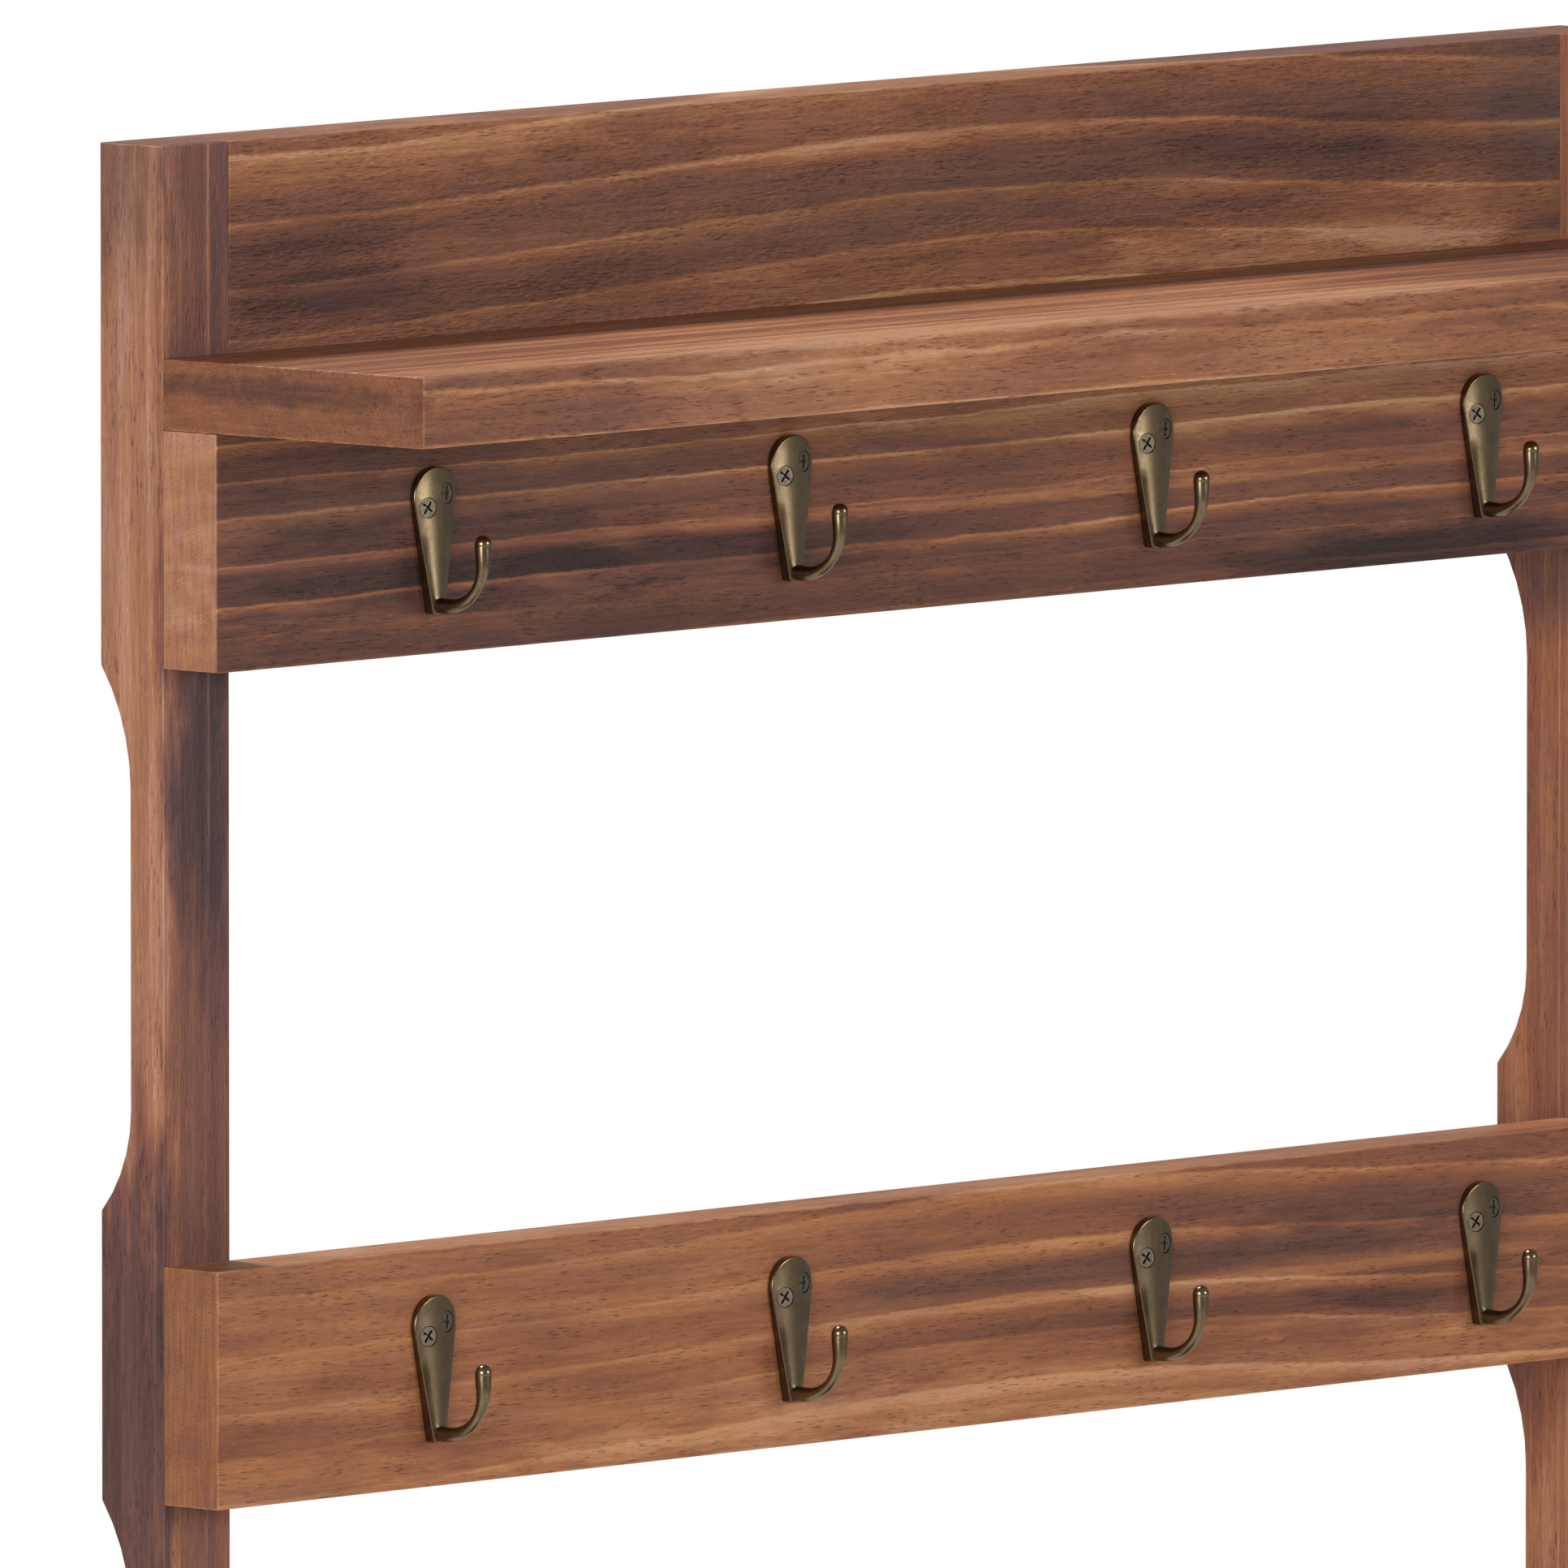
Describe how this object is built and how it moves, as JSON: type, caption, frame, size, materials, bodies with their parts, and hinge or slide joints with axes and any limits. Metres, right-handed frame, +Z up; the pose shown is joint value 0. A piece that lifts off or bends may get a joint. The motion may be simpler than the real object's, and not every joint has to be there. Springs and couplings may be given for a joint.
{
  "type": "hall tree with hooks",
  "caption": "Free-standing wooden hall tree: tall posts with hollowed backs, a top shelf, rows of single-prong coat hooks and a slatted bench over a shoe shelf.",
  "frame": {"origin": "on the floor, under the middle of the overall width and depth", "axes": "+X to the hall tree's right as seen from its front, +Y to its back, +Z up"},
  "size_m": [0.762, 0.3774, 1.7],
  "materials": {
    "stained_pine": "brown-stained pine under satin varnish",
    "antique_brass": "aged antique brass, satin",
    "hook_screw_metal": "bronzed steel",
    "zinc_steel": "zinc-plated steel",
    "black_bolt": "black-coated steel",
    "dowel_wood": "plain beech",
    "glide_nylon": "dark nylon"
  },
  "bodies": {
    "root": {"left_post": "stained_pine", "right_post": "stained_pine", "left_front_leg": "stained_pine", "right_front_leg": "stained_pine", "top_board": "stained_pine", "top_shelf": "stained_pine", "upper_hook_rail": "stained_pine", "lower_hook_rail": "stained_pine", "front_apron": "stained_pine", "back_apron": "stained_pine", "seat_bearer": "stained_pine", "left_side_apron": "stained_pine", "right_side_apron": "stained_pine", "left_shoe_rail": "stained_pine", "right_shoe_rail": "stained_pine", "left_seat_cleat": "stained_pine", "right_seat_cleat": "stained_pine", "shoe_shelf_batten": "stained_pine", "seat_board_1": "stained_pine", "seat_board_2": "stained_pine", "seat_board_3": "stained_pine", "seat_board_4": "stained_pine", "shoe_slat_1": "stained_pine", "shoe_slat_2": "stained_pine", "shoe_slat_3": "stained_pine", "shoe_slat_4": "stained_pine", "upper_hook_1": "antique_brass", "upper_hook_2": "antique_brass", "upper_hook_3": "antique_brass", "upper_hook_4": "antique_brass", "lower_hook_1": "antique_brass", "lower_hook_2": "antique_brass", "lower_hook_3": "antique_brass", "lower_hook_4": "antique_brass", "upper_hook_screws": "hook_screw_metal", "lower_hook_screws": "hook_screw_metal", "upper_hook_rail_screws": "zinc_steel", "lower_hook_rail_screws": "zinc_steel", "shelf_screws": "zinc_steel", "cleat_screws": "zinc_steel", "seat_screws": "zinc_steel", "slat_screws": "zinc_steel", "batten_screws": "zinc_steel", "barrel_nuts": "zinc_steel", "frame_bolts": "black_bolt", "top_board_dowels": "dowel_wood", "apron_dowels": "dowel_wood", "side_frame_dowels": "dowel_wood", "foot_glides": "glide_nylon"}
  },
  "joints": []
}
